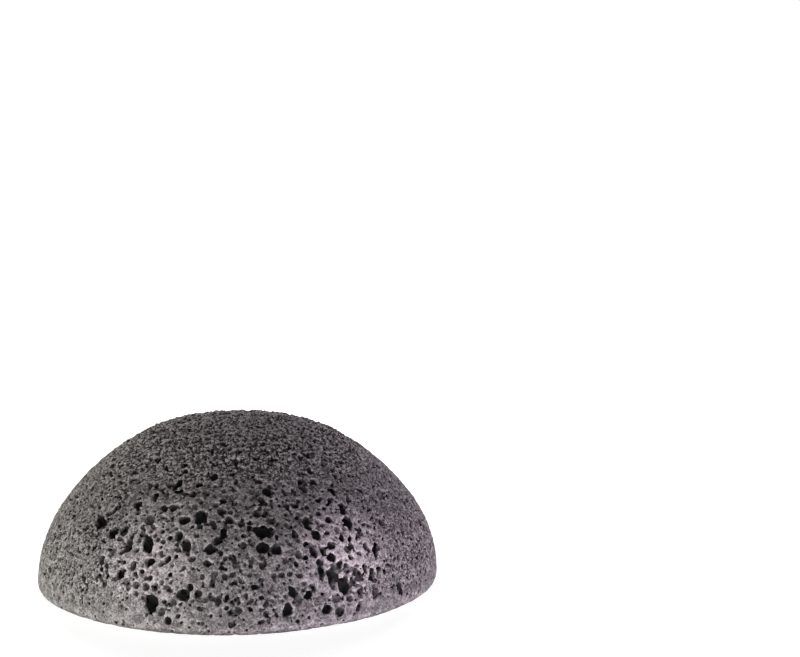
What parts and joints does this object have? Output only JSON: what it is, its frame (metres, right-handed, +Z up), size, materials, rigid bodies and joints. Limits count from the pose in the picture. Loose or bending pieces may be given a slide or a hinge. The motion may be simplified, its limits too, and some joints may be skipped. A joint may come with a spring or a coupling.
{
  "type": "konjac sponge",
  "caption": "Half-ball facial cleansing sponge of charcoal-grey open-cell konjac foam, lying on its flat face, that squashes down under a fingertip and springs back.",
  "frame": {"origin": "middle of the flat face that the sponge lies on", "axes": "+Z up through the top of the crown, square to the flat face; the dome is round about Z, and -Y is the side that the picture shows"},
  "size_m": [0.08, 0.08, 0.035],
  "materials": {
    "charcoal_foam": "matte open-cell plant-fibre foam, charcoal grey, fine-grained with dark open cells"
  },
  "bodies": {
    "base": {"flat_base": "charcoal_foam", "foam_core": "charcoal_foam"},
    "crown": {"dome_crown": "charcoal_foam"}
  },
  "joints": [
    {"name": "squeeze", "type": "slide", "parent": "base", "child": "crown", "axis": [0, 0, -1], "range_m": [0, 0.017], "stiffness_N_per_m": 500, "deforming": ["foam_core"]}
  ]
}
